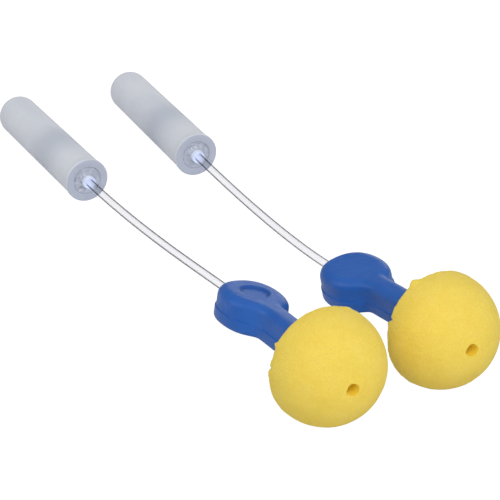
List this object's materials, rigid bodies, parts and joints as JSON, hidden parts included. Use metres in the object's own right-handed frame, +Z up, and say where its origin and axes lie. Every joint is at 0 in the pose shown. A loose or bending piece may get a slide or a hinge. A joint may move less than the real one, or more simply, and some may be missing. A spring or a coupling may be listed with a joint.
{
  "type": "probed foam ear plugs",
  "caption": "Pair of push-in foam ear plugs: domed foam pod, flat oval grip, and a clear probe tube ending in a frosted sleeve.",
  "frame": {"origin": "on the table, under the middle of the pair as it lies", "axes": "+Y runs from the foam pods back along the probe tubes to the sleeves, +X from the left plug to the right one, +Z up"},
  "size_m": [0.0297, 0.0957, 0.014],
  "materials": {
    "foam": "matt fine-pored polyurethane foam with a thin moulded skin",
    "stem": "satin moulded elastomer with a fine grain",
    "tube": "clear flexible tubing",
    "sleeve": "frosted translucent moulding",
    "bush": "clear glossy collar"
  },
  "bodies": {
    "left_plug": {"left_foam_pod": "foam", "left_stem": "stem", "left_probe_tube": "tube"},
    "left_probe_end": {"left_sleeve": "sleeve", "left_sleeve_bush": "bush"},
    "right_plug": {"right_foam_pod": "foam", "right_stem": "stem", "right_probe_tube": "tube"},
    "right_probe_end": {"right_sleeve": "sleeve", "right_sleeve_bush": "bush"}
  },
  "joints": [
    {"name": "right_plug_lift", "type": "slide", "parent": "left_plug", "child": "right_plug", "axis": [0, 0, 1], "range_m": [0, 0.05]},
    {"name": "left_tube_flex", "type": "hinge", "parent": "left_plug", "child": "left_probe_end", "pos_m": [-0.00798, 0.00263, 0.0043], "axis": [0, 0, 1], "range_deg": [-5, 60], "deforming": ["left_probe_tube"]},
    {"name": "right_tube_flex", "type": "hinge", "parent": "right_plug", "child": "right_probe_end", "pos_m": [0.00693, 0.00412, 0.00379], "axis": [0, 0, 1], "range_deg": [-60, 5], "deforming": ["right_probe_tube"]}
  ]
}
